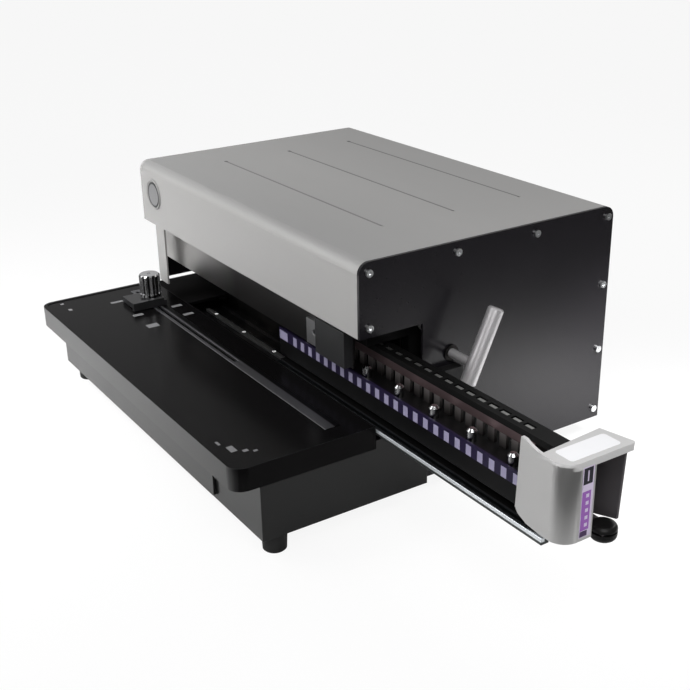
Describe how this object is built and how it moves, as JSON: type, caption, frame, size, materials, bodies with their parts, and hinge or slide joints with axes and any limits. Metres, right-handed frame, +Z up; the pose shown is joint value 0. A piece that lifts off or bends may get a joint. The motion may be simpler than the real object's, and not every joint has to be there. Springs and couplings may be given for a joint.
{
  "type": "binding punch",
  "caption": "Electric desk punch for binding: sheet-metal housing, paper table, sliding interchangeable die with a pin comb, cam-driven press bar, die lock lever, chip drawer.",
  "frame": {"origin": "bottom centre of the rest bounding box, on the desk", "axes": "+X to the side that the die is pulled out of, +Y to the back, +Z up"},
  "size_m": [0.7102, 0.4354, 0.249],
  "materials": {
    "silver_sheet": "satin silver paint",
    "black_sheet": "satin black paint",
    "black_table": "glossy black paint",
    "bright_screw": "nickel plated",
    "badge": "plain round badge",
    "rail_grey": "grey anodised",
    "zinc": "zinc plated steel",
    "black_plastic": "black moulded plastic",
    "machined": "machined steel",
    "gear_brass": "cut brass",
    "motor_black": "black motor can",
    "board_green": "circuit board",
    "foot_rubber": "black rubber",
    "lever_chrome": "polished rod",
    "knob_grey": "fluted knob",
    "blackened": "blackened tool steel",
    "rail_chrome": "hard chrome",
    "strip_purple": "dark purple plastic",
    "pin_steel": "oiled tool steel",
    "handle_grey": "satin grey plastic",
    "label_white": "plain white label",
    "label_purple": "plain purple label"
  },
  "bodies": {
    "frame": {"base_pan": "black_sheet", "paper_table": "black_table", "guide_rail": "rail_grey", "wrap_cover": "silver_sheet", "right_panel": "black_sheet", "left_panel": "black_sheet", "panel_screws": "bright_screw", "cover_badge": "badge", "throat_guard": "black_sheet", "guard_bracket": "zinc", "interlock_block": "black_plastic", "die_bed": "machined", "wear_strips": "machined", "strip_screws": "bright_screw", "right_frame": "machined", "left_frame": "machined", "tie_bars": "zinc", "press_guides": "machined", "shaft_bearings": "machined", "drive_motor": "motor_black", "motor_bracket": "zinc", "control_board": "board_green", "board_posts": "zinc", "power_inlet": "black_plastic", "switch_frame": "black_plastic", "pedal_socket": "black_plastic", "rubber_feet": "foot_rubber", "foot_screws": "bright_screw", "lever_bush": "machined", "lever_stop": "machined", "drawer_runners": "zinc"},
    "drawer": {"drawer_tray": "black_sheet", "drawer_front": "black_sheet"},
    "side_guide": {"side_guide": "black_plastic", "clamp_nut": "zinc"},
    "knob": {"guide_knob": "knob_grey", "clamp_screw": "zinc"},
    "die": {"die_plate": "blackened", "die_rail": "rail_chrome", "slot_spacer": "blackened", "guide_block": "blackened", "index_strip": "strip_purple", "bright_posts": "bright_screw", "guide_pillars": "zinc", "die_screws": "blackened", "die_end_plate": "blackened", "handle": "handle_grey", "handle_label": "label_white", "end_label": "label_purple", "bumper": "foot_rubber"},
    "pins": {"pin_bar": "pin_steel", "punch_pins": "pin_steel", "top_rail": "blackened"},
    "press": {"press_bar": "machined"},
    "cam": {"cam_shaft": "machined", "press_cams": "machined", "drive_gear": "gear_brass"},
    "pinion": {"motor_pinion": "machined"},
    "lever": {"lever_arm": "lever_chrome"},
    "rocker": {"switch_rocker": "black_plastic"}
  },
  "joints": [
    {"name": "die_slide", "type": "slide", "parent": "frame", "child": "die", "axis": [1, 0, 0], "range_m": [-0.1945, 0.14]},
    {"name": "pin_stroke", "type": "slide", "parent": "die", "child": "pins", "axis": [0, 0, -1], "range_m": [0, 0.008]},
    {"name": "press_stroke", "type": "slide", "parent": "frame", "child": "press", "axis": [0, 0, -1], "range_m": [0, 0.008]},
    {"name": "cam_turn", "type": "hinge", "parent": "frame", "child": "cam", "pos_m": [-0.08924, -0.04475, 0.1924], "axis": [1, 0, 0], "continuous": true},
    {"name": "pinion_turn", "type": "hinge", "parent": "frame", "child": "pinion", "pos_m": [-0.28924, -0.01475, 0.1924], "axis": [1, 0, 0], "continuous": true},
    {"name": "lever_swing", "type": "hinge", "parent": "frame", "child": "lever", "pos_m": [0.14576, 0.01625, 0.143], "axis": [1, 0, 0], "range_deg": [0, 66]},
    {"name": "drawer_slide", "type": "slide", "parent": "frame", "child": "drawer", "axis": [0, -1, 0], "range_m": [0, 0.15]},
    {"name": "guide_slide", "type": "slide", "parent": "frame", "child": "side_guide", "axis": [1, 0, 0], "range_m": [-0.03, 0.2]},
    {"name": "knob_turn", "type": "hinge", "parent": "side_guide", "child": "knob", "pos_m": [-0.28806, -0.10825, 0.12], "axis": [0, 0, 1], "range_deg": [0, 270]},
    {"name": "rocker_tip", "type": "hinge", "parent": "frame", "child": "rocker", "pos_m": [0.00576, 0.21175, 0.06], "axis": [1, 0, 0], "range_deg": [-8, 8]}
  ],
  "couplings": [
    {"joint": "pin_stroke", "follows": "press_stroke", "ratio": 1},
    {"joint": "pinion_turn", "follows": "cam_turn", "ratio": -2}
  ]
}
